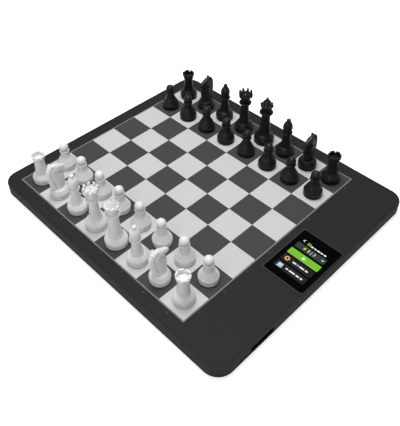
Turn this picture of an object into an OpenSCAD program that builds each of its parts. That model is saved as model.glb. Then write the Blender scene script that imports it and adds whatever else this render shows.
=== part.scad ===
// Electronic chess computer: a lit 8 by 8 field with a console, and its 32 pieces.
// White sits on the near side (-Y), the console is on the right (+X), +Z is up.

/* [Playing field] */
// Side of one square
square_size = 40; // [38:0.5:44]
// Thickness of the inlaid squares
tile_t = 1; // [0.8:0.1:1.2]
// Hairline round each inlaid square
tile_gap = 0.1; // [0.05:0.05:0.2]
// Width of the line round the field
border_w = 1.8; // [1.2:0.1:3]
// Thickness of the line's inlay
border_t = 0.6; // [0.4:0.1:0.8]
// Plain margin from the field to the outer edge
margin_w = 21.3; // [20:0.1:26]
// Plain strip between the field and the display's bezel
console_gap = 10.9; // [9:0.1:16]
// Light window under each square
light_window = 34; // [30:0.5:36]

/* [Housing] */
// Height of the housing, without its feet
body_h = 16; // [16:0.5:20]
// Radius of the housing's corners
corner_r = 21.4; // [16:0.2:28]
// Wall of the housing
wall_t = 2.5; // [2:0.1:2.8]
// Width of the lip round the top plate
rim_w = 3; // [3:0.1:4]
// Width of the shelf that carries the top plate
shelf_w = 3; // [2.5:0.1:3.5]
// Thickness of that shelf
shelf_t = 2; // [1.5:0.1:2.2]
// Rounding of the upper edge
edge_r = 0.8; // [0.4:0.1:1.2]
// Rounding of the lower edge
base_edge_r = 0.5; // [0.3:0.1:0.8]
// Thickness of the top plate
plate_t = 2; // [1.9:0.1:2.4]
// Seam between the top plate and the lip
seam_gap = 0.4; // [0.2:0.1:0.6]
// Thickness of the bottom cover
cover_t = 2.5; // [2.4:0.1:2.8]
// Clearance between parts that drop in
fit_gap = 0.25; // [0.15:0.05:0.35]

/* [Feet and screws] */
// Radius of a rubber foot
foot_r = 8; // [6:0.5:9]
// Height of a rubber foot
foot_h = 3; // [2.5:0.1:4]
// Depth that a foot is let into the cover
foot_seat = 0.5; // [0.3:0.1:0.8]
// Foot centre from the outer edges
foot_inset = 18; // [17:0.5:22]
// Radius of a screw boss
boss_r = 3.2; // [2.8:0.1:3.4]
// Screw line from the outer edge
boss_inset = 5.5; // [5.2:0.1:6]
// Radius of a housing screw's shank
screw_r = 1.2; // [1:0.05:1.3]
// Radius of a housing screw's head
screw_head_r = 2.75; // [2.4:0.05:2.9]
// Height of a housing screw's head
screw_head_h = 1.4; // [1:0.1:1.4]
// Corner screws from the ends of their row
screw_end = 30; // [28:1:40]

/* [Lighting and sensors] */
// Height of the light grid
grid_h = 5; // [4:0.1:5]
// Wall of the light grid
grid_wall = 1.6; // [1.2:0.1:2.4]
// Rim of the light grid outside the field
grid_rim = 3; // [2:0.5:5]
// Thickness of the circuit boards
board_t = 1.6; // [1.2:0.1:1.6]
// Side of a square's lamp
led_size = 5; // [3:0.5:6]
// Height of a square's lamp
led_h = 1.2; // [0.8:0.1:1.6]

/* [Display] */
// Width of the display glass
glass_w = 57.4; // [54:0.2:58]
// Depth of the display glass
glass_d = 81; // [76:0.5:86]
// Thickness of the display glass
glass_t = 1.6; // [1.2:0.1:1.8]
// Radius of the glass's corners
glass_r = 2.5; // [1:0.1:4]
// Height of the glass above the top plate
glass_proud = 0.8; // [0.5:0.1:1]
// Height of the bezel above the top plate
bezel_proud = 0.5; // [0.3:0.1:0.5]
// Visible width of the bezel on three sides
bezel_w = 2; // [1.5:0.1:2.5]
// Visible width of the bezel beside the lip
bezel_edge_w = 0.5; // [0.4:0.05:0.8]
// Thickness of the bezel's flange under the top plate
flange_t = 1.5; // [1:0.1:1.5]
// Reach of that flange under the top plate
flange_reach = 2; // [1.5:0.1:2.5]
// Ledge of the bezel under the glass
ledge_w = 1.5; // [1:0.1:1.7]
// Thickness of the gasket under the glass
gasket_t = 0.3; // [0.2:0.05:0.4]
// Clearance of the display module in the bezel, across and along
module_gap = [1.2, 2];
// Thickness of the display module
module_t = 3.4; // [3:0.1:3.6]

/* [Port and button] */
// Near end of the side window, from the middle
port_near = -149; // [-150:0.5:-146]
// Step between the button's and the port's part
port_step = -131.5; // [-133:0.5:-131]
// Far end of the side window
port_far = -92.5; // [-94:0.5:-90]
// Bridge of wall under the window
window_sill = 1.5; // [1.4:0.1:1.8]
// Top of the port's part below the top surface
port_drop = 3.2; // [3:0.1:3.6]
// Top of the button's part below the top surface
button_drop = 5.2; // [4.8:0.1:5.6]
// Setback of the insert's face in the window
insert_setback = 0.5; // [0.3:0.1:0.8]
// Wall of the insert
insert_wall = 1.5; // [1.2:0.1:1.6]
// Depth of the port's pocket behind the housing wall
pocket_depth = 3.5; // [3:0.1:4]
// Length of the power button
button_len = 14.1; // [11:0.1:14.5]
// Height of the power button
button_high = 5.3; // [4.5:0.1:5.5]
// Travel of the power button
button_travel = 0.8; // [0.5:0.05:1]
// Clearance round the power button
button_gap = 0.2; // [0.1:0.05:0.3]

/* [Electronics] */
// Size of the main board
main_board_size = [57, 103];
// Near end of the main board, from the middle
main_board_near = -155; // [-157:0.5:-153]
// Height of the main board's rests
main_board_rise = 2; // [1.5:0.1:2.5]
// Size of the battery pack
battery_size = [52, 85, 7];
// Gap between the battery pack and the speaker
battery_gap = 3.3; // [3:0.1:6]
// Radius of the speaker
speaker_r = 14; // [11:0.5:15]
// Height of the speaker
speaker_h = 5; // [4:0.5:6]
// Radius of the battery lead
lead_r = 1.2; // [0.8:0.1:1.4]

/* [Pawn] */
// Radius of a pawn's base
pawn_base_r = 12.9; // [11.5:0.1:14]
// Radius of a pawn's head
pawn_head_r = 6.3; // [5.5:0.1:7]
// Radius of a pawn's collar
pawn_collar_r = 6.9; // [6.2:0.1:8]
// Height of a pawn
pawn_h = 40.6; // [38:0.2:46]

/* [Rook] */
// Radius of a rook's base
rook_base_r = 13.3; // [12:0.1:15]
// Radius of a rook's rim
rook_rim_r = 9.1; // [8.6:0.1:10.5]
// Height of a rook
rook_h = 44.6; // [42:0.2:50]

/* [Knight] */
// Radius of a knight's base
knight_base_r = 13.3; // [12.5:0.1:15]
// Scale of a knight's head and neck
knight_scale = 1; // [0.9:0.02:1.1]

/* [Bishop] */
// Radius of a bishop's base
bishop_base_r = 13.4; // [12:0.1:15]
// Radius of a bishop's collar
bishop_collar_r = 7.6; // [7:0.1:8.5]
// Radius of a bishop's head
bishop_head_r = 6.9; // [6:0.1:7.5]
// Height of a bishop
bishop_h = 61.3; // [58:0.2:68]

/* [Queen] */
// Radius of a queen's base
queen_base_r = 14; // [13:0.1:16]
// Radius of a queen's collar
queen_collar_r = 9.2; // [8.4:0.1:10]
// Radius of a queen's coronet at its points
queen_crown_r = 10.6; // [9.5:0.1:11.5]
// Height of a queen
queen_h = 68; // [65:0.2:74]

/* [King] */
// Radius of a king's base
king_base_r = 14.9; // [13.5:0.1:16.5]
// Radius of a king's collar
king_collar_r = 10; // [9:0.1:11]
// Radius of a king's crown
king_crown_r = 10; // [9:0.1:11]
// Height of a king
king_h = 77.5; // [74:0.2:84]

/* [Bases] */
// Height of the cap under each piece
cap_h = 3; // [2.4:0.1:3.6]
// Rounding of the cap's edge
cap_edge = 0.9; // [0.5:0.1:1.2]
// Joint line between the cap and the body
cap_gap = 0.1; // [0.05:0.05:0.2]

/* [Hidden] */
$fn = 48;
SHELL = "#3a3a3b";
PLATE = "#3e3e40";
DARK = "#4a4a4b";
LIGHT = "#b9b9b9";
LINE = "#838383";
GLASS = "#0b0c0e";
BLACK = "#1b1c1d";
BOARD = "#1d5a38";
CHIP = "#26272a";
STEEL = "#b4b6ba";
IVORY = "#dedede";
EBONY = "#232425";

field_w = 8 * square_size;
console_w = console_gap + bezel_w + glass_w + bezel_edge_w + rim_w + seam_gap / 2;
body_w = margin_w + field_w + console_w;
body_d = field_w + 2 * margin_w;
x_right = body_w / 2;
field_x = margin_w + field_w / 2 - x_right;

z_base = foot_h - foot_seat;
z_top = z_base + body_h;
z_plate = z_top - plate_t;
z_shelf = z_plate - shelf_t;
z_cover = z_base + cover_t;
z_grid = z_plate - grid_h;
z_sensor = z_grid - board_t;
z_main = z_cover + main_board_rise;
z_parts = z_main + board_t;

// Plate, lip and bezel in plan
plate_in = rim_w + seam_gap;
x_bezel = x_right - rim_w - seam_gap / 2;
glass_x = x_bezel - bezel_edge_w - glass_w / 2;
bezel_left = glass_x - glass_w / 2 - bezel_w;
bezel_half = glass_d / 2 + bezel_w;
glass_fit = 0.1;
z_glass = z_top + glass_proud - glass_t;
module_size = [glass_w - 2 * (ledge_w + module_gap.x), glass_d - 2 * (ledge_w + module_gap.y), module_t];
z_module = z_glass - module_size.z;

// Side window, insert and button
x_wall = x_right - wall_t;
x_face = x_right - insert_setback;
x_flange = x_wall - insert_wall;
x_pocket = x_wall - pocket_depth;
x_tub = x_pocket - insert_wall;
window_gap = 0.2;
sill_z = z_base + window_sill;
port_top = z_top - port_drop;
button_top = z_top - button_drop;
tub_z = z_cover + 0.1;
tub_top = z_shelf - 0.1;
pocket_skin = 1.1;
pocket_near = port_step + insert_wall;
pocket_far = port_far - insert_wall;
pocket_z = tub_z + pocket_skin;
pocket_top = tub_top - pocket_skin;
button_y = (port_near + port_step) / 2;
button_z = pocket_z + button_gap + button_high / 2;
button_hole = [button_len, button_high] + 2 * [button_gap, button_gap];
button_flange = 1.2;
flange_lap = 0.8;
stem_w = 3;

// Main board and what stands on it
main_right = x_right - 9.15;
main_left = main_right - main_board_size.x;
main_far = main_board_near + main_board_size.y;
socket_size = [7.3, 8.94, 3.16];
socket_y = (pocket_near + pocket_far) / 2;
socket_shell = 0.3;
socket_tongue = [4.5, 6.7, 0.7];
switch_size = [6, 6, 3.5];
switch_inset = 1;
plunger_len = 0.9;
plunger_r = 1.1;
switch_front = main_right - switch_inset;
stem_tip = switch_front + plunger_len + button_travel + 0.1;
stem_z = z_parts + switch_size.z / 2;
connector_h = 1;
ribbon_t = 0.3;
ribbon_y = -90;
ribbon_w = 20;
flex_x = main_left + 22;
flex_w = 12;
lead_connector = [8, 7, 2.8];
lead_x = main_right - 11;

// Board fixings
board_hole = [square_size * 0.3, square_size * 0.3];
board_screw_r = 1;
board_head_r = 1.9;
board_head_h = 1.2;
post_r = 2.5;
post_inset = 4.5;
pilot_slack = 0.05;
head_slack = 0.25;
screw_clear = 0.4;
screw_depth = 6;
sensor_half = field_w / 2 + grid_rim;

// Speaker and battery seats
speaker_inset = 37;
speaker_at = [x_right - speaker_inset, body_d / 2 - speaker_inset + 6];
speaker_wall = 1.2;
slot_w = 1.6;
slot_pitch = 3.6;
battery_x = x_right - 10.6 - battery_size.x / 2;
battery_far = speaker_at.y - speaker_r - battery_gap;
battery_near = battery_far - battery_size.y;
seat_wall = 1.4;
seat_h = 2;

// Hand-chosen route of the battery lead: x from its connector, share of the way, z from the cover
lead_low = 1.4;
lead_out = battery_size.z / 2;
lead_in = z_parts + lead_connector.z / 2 - z_cover;
lead_route = [[-6, 0, lead_out], [-6, 0.04, lead_out], [-5, 0.09, 2.2], [-3, 0.16, lead_low],
    [0, 0.26, lead_low], [1, 0.4, lead_low], [0, 0.56, lead_low], [-1, 0.7, lead_low],
    [-1, 0.82, 1.8], [0, 0.89, 3.2], [0, 0.94, lead_in - 0.1], [0, 0.98, lead_in],
    [0, 1.005, lead_in]];
lead_sides = 8;

// Screw places round the housing
screw_rows = [for (x = [-x_right + screw_end, 0, x_right - screw_end], y = [-1, 1])
    [x, y * (body_d / 2 - boss_inset)]];
screw_sides = [for (y = [-1, 1]) [boss_inset - x_right, y * body_d / 4]];
screw_console = [for (y = [port_far + 14, body_d / 4]) [x_right - boss_inset, y]];
screw_points = concat(screw_rows, screw_sides, screw_console);
foot_points = [for (x = [foot_inset - x_right, 0, x_right - foot_inset], y = [-1, 1])
    [x, y * (body_d / 2 - foot_inset)]];
sensor_screws = [for (column = [0, 3, 7], row = [0, 3, 7])
    [field_x + (column - 3.5) * square_size, (row - 3.5) * square_size] + board_hole];
main_screws = [for (x = [main_left + post_inset, main_right - post_inset],
    y = [main_board_near + post_inset, main_far - post_inset]) [x, y]];

// Pieces: kind and file of each side's sixteen
back_rank = ["rook", "knight", "bishop", "queen", "king", "bishop", "knight", "rook"];
file_names = ["a", "b", "c", "d", "e", "f", "g", "h"];
sides = ["white", "black"];
men = [for (side = [0, 1], row = [0, 1], column = [0:7])
    [side, row == 0 ? back_rank[column] : "pawn", column, side == 0 ? row : 7 - row]];
men_names = [for (m = men) str(sides[m[0]], "_", m[1], "_", file_names[m[2]], m[3] + 1)];

// ---- shared forms ----

function mix(a, b, t) = a + (b - a) * t;
function blend(a, b, c, d, t) = 0.5 * (2 * b + (c - a) * t + (2 * a - 5 * b + 4 * c - d) * t * t
    + (3 * b - a - 3 * c + d) * t * t * t);
// Smooth curve through a list of points, with n steps between two of them
function curve(p, n = 4) = let (last = len(p) - 1) concat(
    [for (i = [0:last - 1], k = [0:n - 1]) blend(
        i == 0 ? 2 * p[0] - p[1] : p[i - 1], p[i], p[i + 1],
        i == last - 1 ? 2 * p[last] - p[last - 1] : p[i + 2], k / n)], [p[last]]);
// Arc of an ellipse round c, radii r
function arc(c, r, from, to, n = 8) =
    [for (k = [0:n]) let (a = mix(from, to, k / n)) c + [r.x * cos(a), r.y * sin(a)]];

module rounded_rect(w, d, r) {
    square([w - 2 * r, d], center = true);
    square([w, d - 2 * r], center = true);
    for (x = [-1, 1], y = [-1, 1]) {
        translate([x * (w / 2 - r), y * (d / 2 - r)]) circle(r);
    }
}

module slab(x, y, z) {
    translate([x[0], y[0], z[0]]) cube([x[1] - x[0], y[1] - y[0], z[1] - z[0]]);
}

// Sweeps a wall section round a w by d rectangle with corners r; its outer face is at x = 0
module swept_frame(w, d, r) {
    for (turn = [0:3]) {
        out = turn % 2 == 0 ? w / 2 : d / 2;
        run = turn % 2 == 0 ? d / 2 : w / 2;
        rotate(90 * turn) {
            translate([out - r, run - r, 0]) rotate_extrude(angle = 90) translate([r, 0]) children();
            translate([out, run - r, 0]) rotate([90, 0, 0]) linear_extrude(2 * (run - r)) children();
        }
    }
}

// What a rounding of radius r takes off a square corner at the origin, upward and outward
module corner_waste(r) {
    translate([-r, -r]) difference() {
        square(r + 1);
        circle(r);
    }
}

module wall_section() {
    difference() {
        union() {
            translate([-wall_t, z_base]) square([wall_t, z_plate - z_base]);
            translate([-rim_w - shelf_w, z_shelf]) square([rim_w + shelf_w, shelf_t]);
            translate([-rim_w, z_shelf]) square([rim_w, z_top - z_shelf]);
        }
        translate([0, z_top]) corner_waste(edge_r);
        translate([0, z_base]) mirror([0, 1]) corner_waste(base_edge_r);
    }
}

module at_squares(parity) {
    for (column = [0:7], row = [0:7]) {
        if ((column + row) % 2 == parity) {
            translate([field_x + (column - 3.5) * square_size, (row - 3.5) * square_size, 0]) children();
        }
    }
}

module at_all_squares() {
    for (parity = [0, 1]) {
        at_squares(parity) children();
    }
}

// ---- housing ----

module side_window(gap) {
    x_span = [x_right - rim_w, x_right + 1];
    slab(x_span, [port_step - 0.01, port_far - gap], [sill_z + gap, port_top - gap]);
    slab(x_span, [port_near + gap, port_step], [sill_z + gap, button_top - gap]);
}

module top_housing() {
    color(SHELL) difference() {
        union() {
            swept_frame(body_w, body_d, corner_r) wall_section();
            for (p = screw_points) {
                translate([p.x, p.y, z_cover]) cylinder(r = boss_r, h = z_shelf + 0.1 - z_cover);
            }
        }
        side_window(0);
        for (p = screw_points) {
            translate([p.x, p.y, z_cover - 1]) cylinder(r = screw_r + pilot_slack, h = screw_depth + 2);
        }
    }
}

module bottom_cover() {
    inset = wall_t + fit_gap;
    color(SHELL) difference() {
        union() {
            translate([0, 0, z_base]) linear_extrude(cover_t)
                rounded_rect(body_w - 2 * inset, body_d - 2 * inset, corner_r - inset);
            for (p = sensor_screws) {
                translate([p.x, p.y, z_base + 1]) cylinder(r = post_r, h = z_sensor - z_base - 1);
            }
            for (p = main_screws) {
                translate([p.x, p.y, z_base + 1]) cylinder(r = post_r, h = z_main - z_base - 1);
            }
            translate([speaker_at.x, speaker_at.y, z_base + 1]) difference() {
                cylinder(r = speaker_r + fit_gap + speaker_wall, h = cover_t - 1 + seat_h);
                cylinder(r = speaker_r + fit_gap, h = cover_t + seat_h);
            }
            battery_seat();
        }
        for (p = screw_points) {
            translate([p.x, p.y, z_base - 1]) {
                cylinder(r = screw_r + screw_clear, h = cover_t + 2);
                cylinder(r = screw_head_r + head_slack, h = 1 + screw_head_h + 0.1);
            }
        }
        for (p = foot_points) {
            translate([p.x, p.y, z_base - 1]) cylinder(r = foot_r + 0.1, h = 1 + foot_seat);
        }
        for (p = concat(sensor_screws, main_screws)) {
            translate([p.x, p.y, z_cover - 1]) cylinder(r = board_screw_r + pilot_slack, h = z_sensor);
        }
        speaker_slots();
    }
}

module battery_seat() {
    half = battery_size.x / 2 + fit_gap;
    translate([0, 0, z_base + 1]) for (x = [-1, 1], y = [0, 1]) {
        at_y = y == 0 ? battery_near - fit_gap : battery_far + fit_gap;
        translate([battery_x + x * half, at_y, 0]) mirror([x > 0 ? 0 : 1, 0, 0]) mirror([0, 1 - y, 0]) {
            translate([0, -9, 0]) cube([seat_wall, 9 + seat_wall, cover_t - 1 + seat_h]);
            translate([-9, 0, 0]) cube([9 + seat_wall, seat_wall, cover_t - 1 + seat_h]);
        }
    }
}

module speaker_slots() {
    reach = speaker_r - 2.5;
    for (k = [-3:3]) {
        half = sqrt(reach * reach - pow(k * slot_pitch, 2));
        translate([speaker_at.x + k * slot_pitch, speaker_at.y, z_base - 1]) linear_extrude(cover_t + 2) {
            square([slot_w, 2 * half - slot_w], center = true);
            for (end = [-1, 1]) {
                translate([0, end * (half - slot_w / 2)]) circle(slot_w / 2);
            }
        }
    }
}

module rubber_feet() {
    color(BLACK) for (p = foot_points) {
        translate([p.x, p.y, 0]) rotate_extrude() difference() {
            square([foot_r, foot_h]);
            translate([foot_r, 0]) mirror([0, 1]) corner_waste(base_edge_r);
        }
    }
}

module housing_screws() {
    color(STEEL) for (p = screw_points) {
        translate([p.x, p.y, z_base + 0.1]) difference() {
            union() {
                cylinder(r = screw_head_r, h = screw_head_h);
                cylinder(r = screw_r, h = cover_t + screw_depth);
            }
            translate([0, 0, -0.1]) linear_extrude(0.8) for (turn = [0, 90]) {
                rotate(turn) square([screw_head_r * 1.1, 0.6], center = true);
            }
        }
    }
}

module board_screws() {
    color(STEEL) {
        for (p = sensor_screws) {
            translate([p.x, p.y, z_sensor]) board_screw();
        }
        for (p = main_screws) {
            translate([p.x, p.y, z_main]) board_screw();
        }
    }
}

module board_screw() {
    translate([0, 0, board_t]) cylinder(r = board_head_r, h = board_head_h);
    translate([0, 0, -1.5]) cylinder(r = board_screw_r, h = board_t + 2);
}

// ---- top plate and field ----

module plate_outline() {
    rounded_rect(body_w - 2 * plate_in, body_d - 2 * plate_in, corner_r - plate_in);
}

module top_plate() {
    groove = field_w + 2 * border_w + tile_gap;
    recess = field_w + tile_gap;
    color(PLATE) difference() {
        translate([0, 0, z_plate]) linear_extrude(plate_t) plate_outline();
        translate([field_x, 0, z_top - border_t]) linear_extrude(plate_t) square(groove, center = true);
        translate([field_x, 0, z_top - tile_t]) linear_extrude(plate_t) square(recess, center = true);
        at_all_squares() translate([0, 0, z_plate - 1]) linear_extrude(plate_t + 1)
            square(light_window, center = true);
        slab([bezel_left - glass_fit, x_right], [-bezel_half - glass_fit, bezel_half + glass_fit],
            [z_plate - 1, z_top + 1]);
    }
}

module border_line() {
    color(LINE) translate([field_x, 0, z_top - border_t]) linear_extrude(border_t) difference() {
        square(field_w + 2 * border_w, center = true);
        square(field_w + tile_gap, center = true);
    }
}

module tile() {
    side = square_size - tile_gap;
    translate([0, 0, z_top - tile_t]) linear_extrude(tile_t) square(side, center = true);
}

module dark_squares() {
    color(DARK) at_squares(0) tile();
}

module light_squares() {
    color(LIGHT) at_squares(1) tile();
}

module light_grid() {
    color(IVORY) difference() {
        translate([field_x, 0, z_grid]) linear_extrude(grid_h) square(2 * sensor_half, center = true);
        at_all_squares() translate([0, 0, z_grid - 1]) linear_extrude(grid_h + 2)
            square(square_size - grid_wall, center = true);
    }
}

module sensor_board() {
    color(BOARD) difference() {
        translate([field_x, 0, z_sensor]) linear_extrude(board_t) square(2 * sensor_half, center = true);
        for (p = sensor_screws) {
            translate([p.x, p.y, z_sensor - 1]) cylinder(r = board_screw_r + pilot_slack, h = board_t + 2);
        }
    }
}

module square_leds() {
    color(IVORY) at_all_squares() translate([0, 0, z_grid]) linear_extrude(led_h)
        square(led_size, center = true);
}

module sensor_ribbon() {
    color(LIGHT) slab([field_x + sensor_half - 8, main_left + 6],
        [ribbon_y - ribbon_w / 2, ribbon_y + ribbon_w / 2], [z_sensor - ribbon_t, z_sensor]);
}

// ---- display ----

module display_glass() {
    color(GLASS) translate([glass_x, 0, z_glass]) linear_extrude(glass_t)
        rounded_rect(glass_w, glass_d, glass_r);
}

module display_bezel() {
    ledge_z = z_glass - gasket_t;
    opening = [glass_w + 2 * glass_fit, glass_d + 2 * glass_fit];
    color(BLACK) difference() {
        union() {
            slab([bezel_left, x_bezel], [-bezel_half, bezel_half], [z_plate, z_top + bezel_proud]);
            slab([bezel_left - flange_reach, x_right - rim_w - shelf_w - glass_fit],
                [-bezel_half - flange_reach, bezel_half + flange_reach], [z_plate - flange_t, z_plate]);
        }
        translate([glass_x, 0, ledge_z]) linear_extrude(plate_t + 2)
            rounded_rect(opening.x, opening.y, glass_r + glass_fit);
        translate([glass_x, 0, z_plate - flange_t - 1]) linear_extrude(plate_t + flange_t + 1)
            square([glass_w - 2 * ledge_w, glass_d - 2 * ledge_w], center = true);
    }
}

module display_gasket() {
    color(BLACK) translate([glass_x, 0, z_glass - gasket_t]) linear_extrude(gasket_t) difference() {
        rounded_rect(glass_w, glass_d, glass_r);
        square([glass_w - 2 * ledge_w, glass_d - 2 * ledge_w], center = true);
    }
}

module display_module() {
    color(CHIP) translate([glass_x, 0, z_module]) linear_extrude(module_size.z)
        square([module_size.x, module_size.y], center = true);
}

// Flat cable: back under the module, round a bend and down to its connector
module display_flex() {
    bend = 1.6;
    start = -module_size.y / 2 + 12;
    turn = -module_size.y / 2 - 1;
    low = z_parts + connector_h;
    high = z_module - ribbon_t;
    color("#b5762c") translate([flex_x + flex_w / 2, 0, 0]) rotate([90, 0, -90]) linear_extrude(flex_w) {
        translate([-start, high]) square([start - turn, ribbon_t]);
        translate([-turn, high + ribbon_t - bend]) intersection() {
            difference() {
                circle(bend);
                circle(bend - ribbon_t);
            }
            square(bend);
        }
        translate([-turn + bend - ribbon_t, low + bend]) square([ribbon_t, high + ribbon_t - low - 2 * bend]);
        translate([-turn + 2 * bend - ribbon_t, low + bend]) intersection() {
            difference() {
                circle(bend);
                circle(bend - ribbon_t);
            }
            translate([-bend, -bend]) square(bend);
        }
        translate([-turn + 2 * bend - ribbon_t, low])
            square([turn - 2 * bend + ribbon_t - main_far + 6, ribbon_t]);
    }
}

// ---- port, button and electronics ----

module port_insert() {
    color(BLACK) difference() {
        union() {
            intersection() {
                side_window(window_gap);
                slab([x_wall - 0.01, x_face], [port_near, port_far], [z_base, z_top]);
            }
            slab([x_flange, x_wall], [port_near - insert_wall, port_far + insert_wall], [tub_z, tub_top]);
            slab([x_tub, x_flange], [port_step, port_far], [tub_z, tub_top]);
        }
        slab([x_pocket, x_right], [pocket_near, pocket_far], [pocket_z, pocket_top]);
        translate([x_tub - 1, button_y - button_hole.x / 2, button_z - button_hole.y / 2])
            cube([x_right - x_tub + 2, button_hole.x, button_hole.y]);
        translate([x_tub - 1, socket_y, z_parts + socket_size.z / 2])
            socket_form(insert_wall + 2, socket_size.y + 0.2, socket_size.z + 0.2);
    }
}

// Flat-sided round bar along X
module socket_form(length, w, h) {
    rotate([90, 0, 90]) linear_extrude(length) {
        square([w - h, h], center = true);
        for (end = [-1, 1]) {
            translate([end * (w - h) / 2, 0]) circle(h / 2);
        }
    }
}

module charge_socket() {
    color(STEEL) translate([x_pocket - socket_size.x, socket_y, z_parts + socket_size.z / 2]) {
        difference() {
            socket_form(socket_size.x, socket_size.y, socket_size.z);
            translate([1, 0, 0])
                socket_form(socket_size.x, socket_size.y - 2 * socket_shell,
                    socket_size.z - 2 * socket_shell);
        }
        translate([0.5, -socket_tongue.y / 2, -socket_tongue.z / 2])
            cube([socket_tongue.x + 0.5, socket_tongue.y, socket_tongue.z]);
    }
}

module power_button() {
    color(BLACK) translate([0, button_y, 0]) {
        translate([x_flange - button_flange, 0, button_z]) rotate([90, 0, 90]) {
            linear_extrude(button_flange)
                square([button_len + 2 * flange_lap, button_high + 2 * flange_lap], center = true);
            linear_extrude(x_face + 0.2 - x_flange + button_flange)
                rounded_rect(button_len, button_high, 0.8);
        }
        slab([stem_tip, x_flange - button_flange], [-stem_w / 2, stem_w / 2],
            [stem_z - stem_w / 2, stem_z + stem_w / 2]);
    }
}

module button_switch() {
    color(STEEL) {
        translate([switch_front - switch_size.x, button_y - switch_size.y / 2, z_parts]) cube(switch_size);
        translate([switch_front - 0.1, button_y, stem_z]) rotate([0, 90, 0])
            cylinder(r = plunger_r, h = plunger_len + 0.1);
    }
}

module main_board() {
    color(BOARD) difference() {
        slab([main_left, main_right], [main_board_near, main_far], [z_main, z_parts]);
        for (p = main_screws) {
            translate([p.x, p.y, z_main - 1]) cylinder(r = board_screw_r + pilot_slack, h = board_t + 2);
        }
    }
}

// A chip or a connector standing on the main board
module board_part(x, y, size) {
    translate([x - size.x / 2, y - size.y / 2, z_parts]) cube(size);
}

module main_chips() {
    shield = [24, 24, 2.5];
    processor = [12, 12, 1.2];
    memory = [9, 6, 1];
    power_chip = [5, 5, 1];
    flex_plug = [flex_w + 4, 6, connector_h];
    ribbon_plug = [6, ribbon_w + 3, z_sensor - ribbon_t - z_parts];
    color(CHIP) {
        board_part(main_left + 26, main_board_near + 62, shield);
        board_part(main_left + 24, main_board_near + 30, processor);
        board_part(main_left + 24, main_board_near + 16, memory);
        board_part(main_right - 14, main_board_near + 58, power_chip);
        board_part(flex_x, main_far - 6, flex_plug);
        board_part(main_left + 3, ribbon_y, ribbon_plug);
        board_part(lead_x, main_far - lead_connector.y / 2 - 1, lead_connector);
    }
}

module battery_pack() {
    edge = battery_size.z / 2;
    color("#3c6ea0") translate([battery_x, battery_near, z_cover + edge]) rotate([-90, 0, 0])
        linear_extrude(battery_size.y) {
            square([battery_size.x - 2 * edge, battery_size.z], center = true);
            for (side = [-1, 1]) {
                translate([side * (battery_size.x / 2 - edge), 0]) circle(edge);
            }
        }
}

// Ring of points round the route at p, square to the direction t
function lead_ring(p, t) =
    let (side = cross(t, [0, 0, 1]) / norm(cross(t, [0, 0, 1])), up = cross(side, t))
    [for (k = [0:lead_sides - 1]) let (a = 360 * k / lead_sides)
        p + lead_r * (cos(a) * side + sin(a) * up)];

module battery_lead() {
    path = curve([for (p = lead_route)
        [lead_x + p.x, mix(battery_near, main_far, p.y), z_cover + p.z]], 2);
    last = len(path) - 1;
    rings = [for (i = [0:last]) let (d = path[min(i + 1, last)] - path[max(i - 1, 0)])
        lead_ring(path[i], i == 0 || i == last ? [0, -1, 0] : d / norm(d))];
    walls = [for (i = [0:last - 1], k = [0:lead_sides - 1])
        let (a = i * lead_sides, n = (k + 1) % lead_sides)
        [a + k, a + n, a + n + lead_sides, a + k + lead_sides]];
    ends = [[for (k = [lead_sides - 1:-1:0]) k], [for (k = [0:lead_sides - 1]) last * lead_sides + k]];
    color("#a33") polyhedron([for (r = rings) each r], concat(walls, ends));
}

module speaker() {
    magnet_r = speaker_r * 0.6;
    color(CHIP) translate([speaker_at.x, speaker_at.y, z_cover]) {
        cylinder(r = speaker_r, h = speaker_h / 2);
        cylinder(r = magnet_r, h = speaker_h);
    }
}

// ---- pieces ----

// Cap under a piece, with a rounded edge
module base_cap(r) {
    top = cap_h - cap_gap;
    rotate_extrude() polygon(concat([[0, 0]],
        arc([r - cap_edge, cap_edge], [cap_edge, cap_edge], -90, 0, 4),
        arc([r - cap_edge, top - cap_edge / 2], [cap_edge, cap_edge / 2], 0, 90, 4), [[0, top]]));
}

// Foot of a turned body: upright wall and round shoulder up to radius r_top at height z_top
function shoulder(r, r_end, z_end) = concat([[r - 0.7, cap_h]],
    curve([[r - 0.5, cap_h + 0.4], [r - 0.1, cap_h + 1.8], [r, cap_h + 3.4], [r - 0.25, cap_h + 5.6],
        [r - 1.3, cap_h + 7.4], [mix(r, r_end, 0.6), mix(cap_h + 7.4, z_end, 0.55)], [r_end, z_end]]));

// Half-round collar of radius r and thickness t round height z
function collar(r, z, t) = arc([r - t / 2, z], [t / 2, t / 2], -90, 90, 6);

module turned(outline) {
    rotate_extrude() polygon(concat([[0, cap_h]], outline));
}

module pawn() {
    collar_z = pawn_h - 2 * pawn_head_r + 0.4;
    neck = pawn_head_r * 0.82;
    base_cap(pawn_base_r - 0.3);
    turned(concat(shoulder(pawn_base_r, 7.6, 18),
        curve([[7.2, 18.8], [6.1, 22], [neck + 0.2, collar_z - 1.6]]),
        collar(pawn_collar_r, collar_z, 2.4), [[neck, collar_z + 1.5]],
        arc([0, pawn_h - pawn_head_r], [pawn_head_r, pawn_head_r], -52, 90, 14)));
}

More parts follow.
